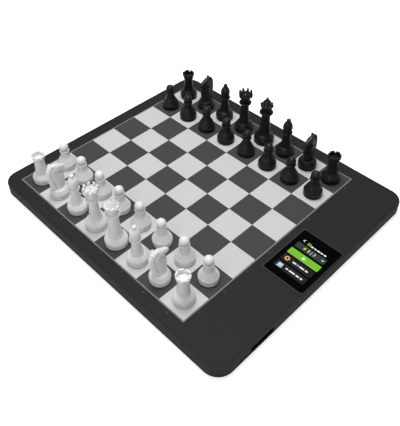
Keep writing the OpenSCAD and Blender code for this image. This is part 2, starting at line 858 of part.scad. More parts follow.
module rook() {
    crown_z = rook_h - 9;
    lip = 2.4;
    cup_z = rook_h - 4.2;
    notch_w = 2.2;
    base_cap(rook_base_r - 0.3);
    difference() {
        turned(concat(shoulder(rook_base_r, 8.8, 14.2),
            curve([[8.3, 14.8], [7.7, 20], [7, 28], [6.7, crown_z - 1.4]]), collar(7.5, crown_z - 0.2, 1.8),
            curve([[6.9, crown_z + 1], [7.5, crown_z + 2.4], [rook_rim_r - 0.2, crown_z + 5],
                [rook_rim_r, rook_h]]),
            [[rook_rim_r - lip, rook_h], [rook_rim_r - lip - 0.2, cup_z], [0, cup_z]]));
        for (k = [0:5]) {
            rotate(60 * k) translate([0, -notch_w / 2, rook_h - 2.6]) cube([rook_rim_r + 1, notch_w, 4]);
        }
    }
}

module bishop() {
    collar_z = bishop_h - 23;
    head_z = bishop_h - 14;
    ball = [3, 2.2];
    base_cap(bishop_base_r - 0.3);
    turned(concat(shoulder(bishop_base_r, 9.6, 13.6),
        curve([[9, 13.9], [7.5, 17.5], [6.4, 23], [5.5, 30], [5.1, collar_z - 1.5]]),
        collar(bishop_collar_r, collar_z, 2.6), [[5, collar_z + 1.4]],
        curve([[5.2, collar_z + 1.8], [bishop_head_r - 0.6, head_z - 4.6], [bishop_head_r, head_z],
            [bishop_head_r - 1, head_z + 5], [bishop_head_r * 0.5, head_z + 9], [1.9, head_z + 10]]),
        arc([0, bishop_h - ball.y], ball, -50, 90, 9)));
}

module queen() {
    collar_z = queen_h - 19.2;
    rim_z = queen_h - 5;
    point_r = 1.5;
    points = 8;
    base_cap(queen_base_r - 0.3);
    turned(concat(shoulder(queen_base_r, 10.2, 13.8),
        curve([[9.6, 14.1], [8, 18.5], [6.9, 26], [6, 36], [5.5, collar_z - 1.6]]),
        collar(queen_collar_r, collar_z, 2.8), [[5.9, collar_z + 1.6]],
        curve([[5.9, collar_z + 2], [6.3, collar_z + 5], [7.8, collar_z + 9.5],
            [queen_crown_r - 1.6, rim_z]]),
        [[queen_crown_r - 3.4, rim_z], [queen_crown_r - 4, rim_z - 1.6]],
        curve([[5.4, rim_z - 1.4], [3.4, rim_z + 0.6], [1.2, rim_z + 1.8]]),
        arc([0, rim_z + 2.6], [1.4, 1.4], -50, 90, 6)));
    for (k = [0:points - 1]) {
        rotate((k + 0.5) * 360 / points) translate([queen_crown_r - point_r, 0, 0]) {
            translate([-1, 0, rim_z - 4.5]) cylinder(r1 = 1.2, r2 = 2.1, h = 4.5 + 0.4);
            translate([-0.6, 0, rim_z]) cylinder(r1 = 1.9, r2 = 1, h = 3);
            translate([0, 0, queen_h - point_r]) sphere(point_r);
        }
    }
}

module king() {
    collar_z = king_h - 25.3;
    rim_z = king_h - 13;
    lobe_r = 2.7;
    lobes = 8;
    base_cap(king_base_r - 0.3);
    turned(concat(shoulder(king_base_r, 11, 14.2),
        curve([[10.4, 14.5], [8.6, 19.5], [7.4, 28], [6.5, 40], [6, collar_z - 1.7]]),
        collar(king_collar_r, collar_z, 3), [[6.5, collar_z + 1.7]],
        curve([[6.5, collar_z + 2], [6.8, collar_z + 5], [8.2, collar_z + 9], [king_crown_r - 1, rim_z]]),
        [[king_crown_r - 2.4, rim_z + 0.5]],
        curve([[7.2, rim_z + 0.6], [6.6, rim_z + 3], [4.6, rim_z + 6.6], [2.2, rim_z + 9.6],
            [1.2, rim_z + 10.4]]),
        arc([0, king_h - 1.6], [1.6, 1.6], -48, 90, 6)));
    for (k = [0:lobes - 1]) {
        rotate((k + 0.5) * 360 / lobes) translate([king_crown_r - lobe_r, 0, rim_z]) sphere(lobe_r);
    }
}

// Knight's head and neck: front point, back point and half width of each level, +Y ahead
knight_levels = [
    [[8.6, 13.4], [-8.6, 13.4], 6.4], [[8.9, 17], [-9.6, 17.5], 6.3], [[10, 23.5], [-11.2, 24.5], 6],
    [[10.8, 30], [-12.9, 32], 5.4], [[8.6, 35.4], [-13.2, 39], 5], [[4.8, 38.4], [-12.2, 45.6], 4.7],
    [[5.8, 39.8], [-8.2, 51.6], 4.8], [[8.2, 40.2], [-1.5, 53], 4.4], [[10.4, 40.4], [4.5, 50.8], 3.7],
    [[12.3, 40.8], [9.5, 48.7], 3.2], [[13.8, 42], [12.6, 46.7], 2.8], [[14.5, 43.3], [14.1, 45.2], 1.7]];
knight_sides = 20;
knight_steps = 4;
mane_depth = 0.9;
mane_first = 5;
mane_last = 27;

// One level as a ring; the mane is a scalloped ridge down its back
function knight_ring(front, back, half, ridge) = let (middle = (front + back) / 2, reach = (front - back) / 2)
    [for (k = [0:knight_sides - 1]) let (a = 360 * k / knight_sides, c = cos(a), s = sin(a),
        bulge = 1 + ridge * pow(max(-c, 0), 6) / norm(reach),
        side = sign(s) * pow(abs(s), 0.8), ahead = sign(c) * pow(abs(c), 0.9))
        [side * half, middle.x + ahead * bulge * reach.x, middle.y + ahead * bulge * reach.y]];

module knight_head() {
    fronts = curve([for (level = knight_levels) level[0]], knight_steps);
    backs = curve([for (level = knight_levels) level[1]], knight_steps);
    halves = curve([for (level = knight_levels) level[2]], knight_steps);
    last = len(fronts) - 1;
    rings = [for (i = [0:last]) knight_ring(fronts[i], backs[i], halves[i],
        i >= mane_first && i <= mane_last ? mane_depth * abs(sin(i * 60)) : 0)];
    walls = [for (i = [0:last - 1], k = [0:knight_sides - 1])
        let (a = i * knight_sides, n = (k + 1) % knight_sides, up = knight_sides)
        each [[a + k, a + n, a + k + up], [a + n, a + n + up, a + k + up]]];
    ends = [[for (k = [knight_sides - 1:-1:0]) k], [for (k = [0:knight_sides - 1]) last * knight_sides + k]];
    polyhedron([for (r = rings) each r], concat(walls, ends));
}

module knight() {
    ear = [5.2, 1.9];
    base_cap(knight_base_r - 0.3);
    turned(concat(shoulder(knight_base_r, 10, 14), [[9.6, 14.3], [0, 14.3]]));
    scale(knight_scale) {
        knight_head();
        for (side = [-1, 1]) {
            translate([side * 2.6, -6.4, 50.5]) rotate([10, side * 8, 0])
                cylinder(r1 = ear.y, r2 = 0.4, h = ear.x);
        }
    }
}

module man(m) {
    color(m[0] == 0 ? IVORY : EBONY)
        translate([field_x + (m[2] - 3.5) * square_size, (m[3] - 3.5) * square_size, z_top])
            rotate(m[0] == 0 ? 0 : 180) {
                if (m[1] == "pawn") pawn();
                if (m[1] == "rook") rook();
                if (m[1] == "knight") knight();
                if (m[1] == "bishop") bishop();
                if (m[1] == "queen") queen();
                if (m[1] == "king") king();
            }
}

top_housing();
bottom_cover();
top_plate();
dark_squares();
light_squares();
border_line();
light_grid();
sensor_board();
square_leds();
main_board();
main_chips();
battery_pack();
battery_lead();
display_glass();
display_bezel();
display_module();
display_gasket();
display_flex();
charge_socket();
power_button();
button_switch();
port_insert();
speaker();
sensor_ribbon();
housing_screws();
board_screws();
rubber_feet();
for (m = [0:len(men) - 1]) {
    man(men[m]);
}
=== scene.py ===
import math

import bmesh
import bpy
from mathutils import Matrix, Vector


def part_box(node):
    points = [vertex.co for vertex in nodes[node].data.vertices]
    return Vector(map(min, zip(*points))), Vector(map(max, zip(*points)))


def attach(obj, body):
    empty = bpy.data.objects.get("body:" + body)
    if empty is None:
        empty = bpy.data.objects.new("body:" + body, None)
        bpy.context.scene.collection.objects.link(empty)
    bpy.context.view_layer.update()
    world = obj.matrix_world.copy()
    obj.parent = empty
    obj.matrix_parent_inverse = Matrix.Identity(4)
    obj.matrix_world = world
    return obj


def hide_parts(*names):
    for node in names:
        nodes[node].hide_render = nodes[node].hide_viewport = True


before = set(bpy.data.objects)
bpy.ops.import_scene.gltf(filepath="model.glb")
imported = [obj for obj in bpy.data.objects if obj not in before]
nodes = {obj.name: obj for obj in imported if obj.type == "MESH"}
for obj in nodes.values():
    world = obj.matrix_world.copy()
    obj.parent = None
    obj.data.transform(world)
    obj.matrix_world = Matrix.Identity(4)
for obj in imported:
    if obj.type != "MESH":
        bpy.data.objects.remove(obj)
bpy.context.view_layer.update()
mm = 0.001
scene = bpy.context.scene
scene.view_settings.view_transform = "Standard"
print("frame loaded:", len(nodes), "nodes")


cameraSet = {
    "target": (-0.01237, 0.01186, 0.0185),
    "azimuth": 44.99,
    "elevation": 43.385,
    "distance": 0.7948,
    "lens": 48.59,
    "shiftUp": -0.0775,
}


def placeCamera():
    turn = math.radians(cameraSet["azimuth"])
    rise = math.radians(cameraSet["elevation"])
    back = Vector((math.sin(turn) * math.cos(rise), -math.cos(turn) * math.cos(rise), math.sin(rise)))
    data = bpy.data.cameras.new("camera")
    data.lens = cameraSet["lens"]
    data.sensor_width = 36
    data.shift_y = cameraSet["shiftUp"]
    data.clip_start = 0.01
    camera = bpy.data.objects.new("camera", data)
    camera.location = Vector(cameraSet["target"]) + back * cameraSet["distance"]
    camera.rotation_euler = back.to_track_quat("Z", "Y").to_euler()
    scene.collection.objects.link(camera)
    scene.camera = camera


lightSet = {
    "worldLevel": 0.34,
    "top": {"place": (-0.2, 0.1, 1.6), "size": 0.7, "power": 20},
    "front": {"place": (0.3, -1.3, 1.0), "size": 1.0, "power": 5},
}


def addLamp(name, look, target=(0, 0, 0)):
    data = bpy.data.lights.new(name, "AREA")
    data.shape = "DISK"
    data.size = look["size"]
    data.energy = look["power"]
    lamp = bpy.data.objects.new(name, data)
    lamp.location = look["place"]
    lamp.rotation_euler = (Vector(look["place"]) - Vector(target)).to_track_quat("Z", "Y").to_euler()
    scene.collection.objects.link(lamp)


def lightWorld():
    world = bpy.data.worlds.new("studio")
    world.use_nodes = True
    scene.world = world
    tree = world.node_tree
    backing = tree.nodes["Background"]
    backing.inputs["Color"].default_value = (1, 1, 1, 1)
    backing.inputs["Strength"].default_value = lightSet["worldLevel"]
    white = tree.nodes.new("ShaderNodeBackground")
    white.inputs["Color"].default_value = (1, 1, 1, 1)
    white.inputs["Strength"].default_value = 1.0
    ray = tree.nodes.new("ShaderNodeLightPath")
    mixer = tree.nodes.new("ShaderNodeMixShader")
    tree.links.new(ray.outputs["Is Camera Ray"], mixer.inputs[0])
    tree.links.new(backing.outputs[0], mixer.inputs[1])
    tree.links.new(white.outputs[0], mixer.inputs[2])
    tree.links.new(mixer.outputs[0], tree.nodes["World Output"].inputs["Surface"])


floorSet = {"size": 6.0, "colour": (0.86, 0.86, 0.86), "glow": 0.62}


def layFloor():
    half = floorSet["size"] / 2
    mesh = bpy.data.meshes.new("floor")
    corners = [(-half, -half, 0), (half, -half, 0), (half, half, 0), (-half, half, 0)]
    mesh.from_pydata(corners, [], [(0, 1, 2, 3)])
    paint = bpy.data.materials.new("paleFloor")
    paint.use_nodes = True
    tree = paint.node_tree
    cloth = tree.nodes["Principled BSDF"]
    cloth.inputs["Base Color"].default_value = (*floorSet["colour"], 1)
    cloth.inputs["Roughness"].default_value = 0.9
    cloth.inputs["Specular IOR Level"].default_value = 0.0
    glow = tree.nodes.new("ShaderNodeEmission")
    glow.inputs["Strength"].default_value = floorSet["glow"]
    both = tree.nodes.new("ShaderNodeAddShader")
    ray = tree.nodes.new("ShaderNodeLightPath")
    pick = tree.nodes.new("ShaderNodeMixShader")
    tree.links.new(cloth.outputs[0], both.inputs[0])
    tree.links.new(glow.outputs[0], both.inputs[1])
    tree.links.new(ray.outputs["Is Camera Ray"], pick.inputs[0])
    tree.links.new(cloth.outputs[0], pick.inputs[1])
    tree.links.new(both.outputs[0], pick.inputs[2])
    tree.links.new(pick.outputs[0], tree.nodes["Material Output"].inputs["Surface"])
    mesh.materials.append(paint)
    floor = bpy.data.objects.new("floor", mesh)
    scene.collection.objects.link(floor)


placeCamera()
lightWorld()
for lampName in ("top", "front"):
    addLamp(lampName + "Lamp", lightSet[lampName])
layFloor()
print("camera, floor and lamps placed")


def mouldedFinish(name, colour, roughness=0.5, grain=0.35, depth=0.012, mottle=0.04, spread=0.05, coat=0.0,
                  metal=0.0, specular=0.5):
    # grain and depth in millimetres; mottle and spread vary the tone and the gloss
    finish = bpy.data.materials.new(name)
    finish.use_nodes = True
    tree = finish.node_tree
    skin = tree.nodes["Principled BSDF"]
    skin.inputs["Metallic"].default_value = metal
    skin.inputs["Specular IOR Level"].default_value = specular
    skin.inputs["Coat Weight"].default_value = coat
    place = tree.nodes.new("ShaderNodeTexCoord")
    fine = tree.nodes.new("ShaderNodeTexNoise")
    fine.inputs["Scale"].default_value = 1 / (grain * mm)
    fine.inputs["Detail"].default_value = 2
    tree.links.new(place.outputs["Object"], fine.inputs["Vector"])
    bump = tree.nodes.new("ShaderNodeBump")
    bump.inputs["Distance"].default_value = depth * mm
    bump.inputs["Strength"].default_value = 0.6
    tree.links.new(fine.outputs["Fac"], bump.inputs["Height"])
    tree.links.new(bump.outputs["Normal"], skin.inputs["Normal"])
    broad = tree.nodes.new("ShaderNodeTexNoise")
    broad.inputs["Scale"].default_value = 22
    broad.inputs["Detail"].default_value = 5
    tree.links.new(place.outputs["Object"], broad.inputs["Vector"])
    tone = tree.nodes.new("ShaderNodeMix")
    tone.data_type = "RGBA"
    tone.inputs["A"].default_value = (*[c * (1 - mottle) for c in colour], 1)
    tone.inputs["B"].default_value = (*[min(1, c * (1 + mottle)) for c in colour], 1)
    tree.links.new(broad.outputs["Fac"], tone.inputs["Factor"])
    tree.links.new(tone.outputs["Result"], skin.inputs["Base Color"])
    gloss = tree.nodes.new("ShaderNodeMapRange")
    gloss.inputs["To Min"].default_value = max(0.02, roughness - spread)
    gloss.inputs["To Max"].default_value = min(1, roughness + spread)
    tree.links.new(broad.outputs["Fac"], gloss.inputs["Value"])
    tree.links.new(gloss.outputs["Result"], skin.inputs["Roughness"])
    return finish


def glowFinish(name, colour, level=1.0):
    # a lit area of the display, under its cover glass
    finish = mouldedFinish(name, [c * 0.02 for c in colour], roughness=0.12, depth=0.0005, mottle=0.02)
    skin = finish.node_tree.nodes["Principled BSDF"]
    skin.inputs["Emission Color"].default_value = (*colour, 1)
    skin.inputs["Emission Strength"].default_value = level
    return finish


finishes = {
    "shell": mouldedFinish("shellPlastic", (0.022, 0.022, 0.023), 0.6, depth=0.02, specular=0.12),
    "plate": mouldedFinish("platePlastic", (0.02, 0.02, 0.021), 0.6, depth=0.015, specular=0.1),
    "darkSquare": mouldedFinish("darkSquare", (0.056, 0.056, 0.057), 0.65, depth=0.01, mottle=0.03,
                                specular=0.1),
    "lightSquare": mouldedFinish("lightSquare", (0.55, 0.55, 0.55), 0.65, depth=0.01, mottle=0.02,
                                 specular=0.1),
    "line": mouldedFinish("fieldLine", (0.19, 0.19, 0.19), 0.6, depth=0.006, specular=0.2),
    "bezel": mouldedFinish("bezelPlastic", (0.026, 0.026, 0.027), 0.4, depth=0.01, specular=0.2),
    "glass": mouldedFinish("coverGlass", (0.001, 0.001, 0.0012), 0.08, grain=3, depth=0.0005, spread=0.02,
                           specular=0.04),
    # black plastic of the port insert and button, made darker than the shell as painted shade for their
    # recess
    "recess": mouldedFinish("recessPlastic", (0.005, 0.005, 0.0055), 0.5, depth=0.02, specular=0.12),
    "rubber": mouldedFinish("footRubber", (0.012, 0.012, 0.012), 0.85, grain=0.6, depth=0.05),
    "steel": mouldedFinish("screwSteel", (0.5, 0.5, 0.51), 0.32, grain=0.2, depth=0.004, metal=1.0),
    "board": mouldedFinish("solderMask", (0.014, 0.1, 0.04), 0.35, grain=1.2, depth=0.01, mottle=0.12),
    "chip": mouldedFinish("chipBlack", (0.014, 0.014, 0.015), 0.6, grain=0.15, depth=0.01),
    "diffuser": mouldedFinish("gridWhite", (0.78, 0.78, 0.76), 0.5, depth=0.02),
    "lamp": mouldedFinish("lampResin", (0.8, 0.78, 0.6), 0.3, grain=0.4, depth=0.02),
    "film": mouldedFinish("batteryFilm", (0.045, 0.14, 0.3), 0.3, grain=2.0, depth=0.05),
    "lead": mouldedFinish("leadSleeve", (0.35, 0.02, 0.02), 0.5, depth=0.01),
    "flex": mouldedFinish("amberFilm", (0.5, 0.2, 0.03), 0.3, depth=0.004, mottle=0.1),
    "ribbon": mouldedFinish("greyRibbon", (0.42, 0.42, 0.43), 0.5, depth=0.01),
    "ivory": mouldedFinish("ivoryPlastic", (0.77, 0.77, 0.765), 0.34, grain=0.5, depth=0.006, mottle=0.015,
                           specular=0.55),
    "ebony": mouldedFinish("ebonyPlastic", (0.008, 0.008, 0.0085), 0.38, grain=0.5, depth=0.006, mottle=0.05,
                           specular=0.3),
    "mark": mouldedFinish("squareMark", (0.1, 0.1, 0.1), 0.6, depth=0.004),
}
nodeFinish = {
    "top_housing": "shell", "bottom_cover": "shell", "top_plate": "plate", "dark_squares": "darkSquare",
    "light_squares": "lightSquare", "border_line": "line", "light_grid": "diffuser",
    "sensor_board": "board", "square_leds": "lamp", "main_board": "board", "main_chips": "chip",
    "battery_pack": "film", "battery_lead": "lead", "display_glass": "glass", "display_bezel": "bezel",
    "display_module": "chip", "display_gasket": "rubber", "display_flex": "flex",
    # the button and the port insert take the recess finish, whose extra darkness is painted shade
    "charge_socket": "steel", "power_button": "recess", "button_switch": "steel",
    "port_insert": "recess", "speaker": "chip", "sensor_ribbon": "ribbon", "housing_screws": "steel",
    "board_screws": "steel", "rubber_feet": "rubber",
}
for nodeName, finishName in nodeFinish.items():
    slots = nodes[nodeName].data.materials
    slots.clear()
    slots.append(finishes[finishName])
print("CAD nodes finished:", len(nodeFinish))


def curve(points, steps=8):
    # smooth line through the points
    first = [2 * a - b for a, b in zip(points[0], points[1])]
    last = [2 * a - b for a, b in zip(points[-1], points[-2])]
    guide = [first, *points, last]
    line = []
    for i in range(1, len(guide) - 2):
        for step in range(steps):
            t = step / steps
            near = zip(*guide[i - 1:i + 3])
            line.append([0.5 * (2 * b + (c - a) * t + (2 * a - 5 * b + 4 * c - d) * t * t
                                + (3 * b - a - 3 * c + d) * t ** 3) for a, b, c, d in near])
    line.append(list(points[-1]))
    return line


def arc(centre, radii, start, end, steps=10):
    angles = [math.radians(start + (end - start) * k / steps) for k in range(steps + 1)]
    return [[centre[0] + radii[0] * math.cos(a), centre[1] + radii[1] * math.sin(a)] for a in angles]


def mix(a, b, t):
    return a + (b - a) * t


def closedRings(form, rings):
    # joins rings of equal length with faces; one-point rings are poles
    rows = [[form.verts.new(Vector(p) * mm) for p in ring] for ring in rings]
    for low, high in zip(rows, rows[1:]):
        count = max(len(low), len(high))
        for k in range(count):
            n = (k + 1) % count
            if len(low) == 1:
                form.faces.new((low[0], high[n], high[k]))
            elif len(high) == 1:
                form.faces.new((low[k], low[n], high[0]))
            else:
                form.faces.new((low[k], low[n], high[n], high[k]))


def spin(form, outline, sides=72):
    # turns an outline of (radius, height) round the upright axis
    rings = []
    for radius, height in outline:
        if radius < 1e-6:
            rings.append([(0, 0, height)])
        else:
            turns = [2 * math.pi * k / sides for k in range(sides)]
            rings.append([(radius * math.cos(a), radius * math.sin(a), height) for a in turns])
    closedRings(form, rings)


def meshFrom(form, name, sharp=38):
    # sets smooth faces with sharp edges where two faces meet steeply
    form.normal_update()
    for face in form.faces:
        face.smooth = True
    for edge in form.edges:
        if len(edge.link_faces) == 2:
            edge.smooth = edge.calc_face_angle(0) < math.radians(sharp)
    mesh = bpy.data.meshes.new(name)
    form.to_mesh(mesh)
    form.free()
    return mesh


def applied(mesh, prepare):
    # a copy of the mesh with the modifiers that prepare adds
    helper = bpy.data.objects.new("helper", mesh)
    scene.collection.objects.link(helper)
    prepare(helper)
    graph = bpy.context.evaluated_depsgraph_get()
    result = bpy.data.meshes.new_from_object(helper.evaluated_get(graph))
    bpy.data.objects.remove(helper)
    return result


def fused(mesh, voxel):
    def prepare(helper):
        melt = helper.modifiers.new("melt", "REMESH")
        melt.mode = "VOXEL"
        melt.voxel_size = voxel * mm
        melt.use_smooth_shade = True
        even = helper.modifiers.new("even", "SMOOTH")
        even.factor = 0.5
        even.iterations = 2
    return applied(mesh, prepare)


def ringTree():
    # copies of Shape round the upright axis
    tree = bpy.data.node_groups.new("shapesRoundRing", "GeometryNodeTree")
    face = tree.interface
    face.new_socket("Shape", in_out="INPUT", socket_type="NodeSocketObject")
    face.new_socket("Count", in_out="INPUT", socket_type="NodeSocketInt")
    face.new_socket("Radius", in_out="INPUT", socket_type="NodeSocketFloat")
    face.new_socket("Height", in_out="INPUT", socket_type="NodeSocketFloat")
    face.new_socket("Material", in_out="INPUT", socket_type="NodeSocketMaterial")
    face.new_socket("Geometry", in_out="OUTPUT", socket_type="NodeSocketGeometry")
    add = tree.nodes.new
    link = tree.links.new
    start = add("NodeGroupInput")
    end = add("NodeGroupOutput")
    points = add("GeometryNodePoints")
    index = add("GeometryNodeInputIndex")
    half = add("ShaderNodeMath")
    half.operation = "ADD"
    half.inputs[1].default_value = 0.5
    share = add("ShaderNodeMath")
    share.operation = "DIVIDE"
    angle = add("ShaderNodeMath")
    angle.operation = "MULTIPLY"
    angle.inputs[1].default_value = 2 * math.pi
    turn = add("ShaderNodeCombineXYZ")
    arm = add("ShaderNodeCombineXYZ")
    place = add("ShaderNodeVectorRotate")
    place.rotation_type = "Z_AXIS"
    shape = add("GeometryNodeObjectInfo")
    copies = add("GeometryNodeInstanceOnPoints")
    real = add("GeometryNodeRealizeInstances")
    paint = add("GeometryNodeSetMaterial")
    link(start.outputs["Count"], points.inputs["Count"])
    link(index.outputs[0], half.inputs[0])
    link(half.outputs[0], share.inputs[0])
    link(start.outputs["Count"], share.inputs[1])
    link(share.outputs[0], angle.inputs[0])
    link(angle.outputs[0], turn.inputs["Z"])
    link(start.outputs["Radius"], arm.inputs["X"])
    link(start.outputs["Height"], arm.inputs["Z"])
    link(arm.outputs[0], place.inputs["Vector"])
    link(angle.outputs[0], place.inputs["Angle"])
    link(place.outputs[0], points.inputs["Position"])
    link(start.outputs["Shape"], shape.inputs["Object"])
    link(points.outputs[0], copies.inputs["Points"])
    link(shape.outputs["Geometry"], copies.inputs["Instance"])
    link(turn.outputs[0], copies.inputs["Rotation"])
    link(copies.outputs[0], real.inputs[0])
    link(real.outputs[0], paint.inputs["Geometry"])
    link(start.outputs["Material"], paint.inputs["Material"])
    link(paint.outputs[0], end.inputs[0])
    return tree


shapesRoundRing = ringTree()


def roundRing(shapeMesh, count, radius, height):
    shape = bpy.data.objects.new("shape", shapeMesh)
    scene.collection.objects.link(shape)

    def prepare(helper):
        ring = helper.modifiers.new("ring", "NODES")
        ring.node_group = shapesRoundRing
        values = {"Shape": shape, "Count": count, "Radius": radius * mm, "Height": height * mm,
                  "Material": finishes["ivory"]}
        for item in shapesRoundRing.interface.items_tree:
            if item.in_out == "INPUT" and item.name in values:
                ring[item.identifier] = values[item.name]

    result = applied(bpy.data.meshes.new("ring"), prepare)
    bpy.data.objects.remove(shape)
    return result


baseSet = {"cap": 3.0, "capEdge": 0.9, "joint": 0.3, "undercut": 1.2}


def baseOutline(radius):
    cap = baseSet["cap"]
    edge = baseSet["capEdge"]
    rim = radius - 0.3
    top = cap - baseSet["joint"]
    return [[0, 0.02], *arc([rim - edge, edge + 0.02], [edge, edge], -90, 0, 6),
            *arc([rim - edge / 2, top - edge / 2], [edge / 2, edge / 2], 0, 90, 5), [0, top]]


def shoulderOutline(radius, endRadius, endHeight):
    cap = baseSet["cap"]
    return [[0, cap], [radius - baseSet["undercut"], cap], *curve([
        [radius - 1.0, cap + 0.35], [radius - 0.15, cap + 1.4], [radius, cap + 3.4],
        [radius - 0.2, cap + 5.5],
        [radius - 1.2, cap + 7.3], [mix(radius, endRadius, 0.6), mix(cap + 7.4, endHeight, 0.55)],
        [endRadius, endHeight]])]


def collarOutline(radius, height, thick):
    return arc([radius - thick / 2, height], [thick / 2, thick / 2], -90, 90, 10)


def turnedForm(radius, outline):
    form = bmesh.new()
    spin(form, baseOutline(radius))
    spin(form, outline)
    return form


pawnSet = {"base": 12.9, "head": 6.3, "collar": 6.9, "height": 40.6}
rookSet = {"base": 13.3, "rim": 9.1, "height": 44.6, "lip": 2.4, "merlons": 6, "notch": 2.2,
           "notchDepth": 2.6, "cup": 5.6}
bishopSet = {"base": 13.4, "collar": 7.6, "head": 6.9, "height": 61.3, "ball": (3.0, 2.2)}
queenSet = {"base": 14.0, "collar": 9.2, "crown": 10.6, "height": 68.0, "points": 8, "pointBall": 1.95,
            "voxel": 0.33}
kingSet = {"base": 14.9, "collar": 10.0, "crown": 10.0, "height": 77.5, "lobes": 8, "lobe": 2.45,
           "voxel": 0.35}
knightSet = {"base": 13.3, "sides": 64, "steps": 12, "voxel": 0.4}


def makePawn():
    size = pawnSet
    collarZ = size["height"] - 2 * size["head"] + 0.4
    neck = size["head"] * 0.82
    outline = [*shoulderOutline(size["base"], 7.6, 18),
               *curve([[7.3, 18.6], [6.1, 22], [neck + 0.2, collarZ - 1.6]]),
               *collarOutline(size["collar"], collarZ, 2.4), [neck, collarZ + 1.5],
               *arc([0, size["height"] - size["head"]], [size["head"]] * 2, -52, 90, 24)]
    outline[-1][0] = 0
    return meshFrom(turnedForm(size["base"], outline), "pawn")


def arcBlock(inner, outer, low, high, span, steps=10):
    # a merlon: a block bent round the axis, centred on +X
    form = bmesh.new()
    rings = []
    for k in range(steps + 1):
        a = span * (k / steps - 0.5)
        c, s = math.cos(a), math.sin(a)
        rings.append([form.verts.new(Vector((r * c, r * s, z)) * mm)
                      for r, z in ((inner, low), (outer, low), (outer, high), (inner, high))])
    for low_, high_ in zip(rings, rings[1:]):
        for k in range(4):
            n = (k + 1) % 4
            form.faces.new((low_[k], low_[n], high_[n], high_[k]))
    form.faces.new(list(reversed(rings[0])))
    form.faces.new(rings[-1])
    bmesh.ops.recalc_face_normals(form, faces=form.faces)
    mesh = bpy.data.meshes.new("merlon")
    form.to_mesh(mesh)
    form.free()

    def prepare(helper):
        bevel = helper.modifiers.new("bevel", "BEVEL")
        bevel.width = 0.35 * mm
        bevel.segments = 3
        bevel.limit_method = "ANGLE"
    return applied(mesh, prepare)


def makeRook():
    size = rookSet
    top = size["height"]
    crownZ = top - 9
    deck = top - size["notchDepth"]
    inner = size["rim"] - size["lip"]
    outline = [*shoulderOutline(size["base"], 8.8, 14.2),
               *curve([[8.4, 14.7], [7.7, 20], [7, 28], [6.7, crownZ - 1.4]]),
               *collarOutline(7.5, crownZ - 0.2, 1.8),
               *curve([[6.9, crownZ + 1], [7.5, crownZ + 2.4], [size["rim"] - 0.25, crownZ + 5],
                       [size["rim"] - 0.1, deck]]),
               [inner + 0.1, deck], [inner - 0.2, top - size["cup"]], [0, top - size["cup"]]]
    form = turnedForm(size["base"], outline)
    span = 2 * math.pi / size["merlons"] - size["notch"] / size["rim"]
    merlon = arcBlock(inner, size["rim"], deck - 0.2, top, span)
    form.from_mesh(roundRing(merlon, size["merlons"], 0, 0))
    return meshFrom(form, "rook")


def makeBishop():
    size = bishopSet
    collarZ = size["height"] - 23
    headZ = size["height"] - 14
    head = size["head"]
    outline = [*shoulderOutline(size["base"], 9.6, 13.6),
               *curve([[9.1, 13.8], [7.5, 17.5], [6.4, 23], [5.5, 30], [5.1, collarZ - 1.5]]),
               *collarOutline(size["collar"], collarZ, 2.6), [5, collarZ + 1.4],
               *curve([[5.2, collarZ + 1.8], [head - 0.6, headZ - 4.6], [head, headZ], [head - 1, headZ + 5],
                       [head * 0.5, headZ + 9], [1.9, headZ + 10]]),
               *arc([0, size["height"] - size["ball"][1]], size["ball"], -50, 90, 16)]
    outline[-1][0] = 0
    return meshFrom(turnedForm(size["base"], outline), "bishop")


def crownShape(outline):
    form = bmesh.new()
    spin(form, outline, 40)
    return meshFrom(form, "crownShape")


def makeQueen():
    size = queenSet
    collarZ = size["height"] - 19.2
    rimZ = size["height"] - 5
    crown = size["crown"]
    ball = size["pointBall"]
    body = [*shoulderOutline(size["base"], 10.2, 13.8),
            *curve([[9.7, 14.0], [8, 18.5], [6.9, 26], [6, 36], [5.5, collarZ - 1.6]]),
            *collarOutline(size["collar"], collarZ, 2.8), [5.6, collarZ + 1.6], [0, collarZ + 1.7]]
    cup = [[0, collarZ], [5.9, collarZ], *curve([[5.9, collarZ + 2], [6.3, collarZ + 5], [7.8, collarZ + 9.5],
           [crown - 1.6, rimZ]]), [crown - 3.4, rimZ], [crown - 4, rimZ - 1.6],
           *curve([[5.4, rimZ - 1.4], [3.4, rimZ + 0.6], [1.2, rimZ + 1.8]]),
           *arc([0, rimZ + 2.6], [1.4, 1.4], -50, 90, 8)]
    cup[-1][0] = 0
    reach = size["height"] - ball - rimZ
    point = [[0, -4.6], [1.1, -4.6], [2.2, 0.2], [2.0, 0.8], [1.3, reach - 1.6],
             *arc([0, reach], [ball, ball], -48, 90, 8)]
    point[-1][0] = 0
    crownForm = bmesh.new()
    spin(crownForm, cup, 64)
    crownForm.from_mesh(roundRing(crownShape(point), size["points"], crown - ball, rimZ))
    form = turnedForm(size["base"], body)
    form.from_mesh(fused(meshFrom(crownForm, "crown"), size["voxel"]))
    return meshFrom(form, "queen")


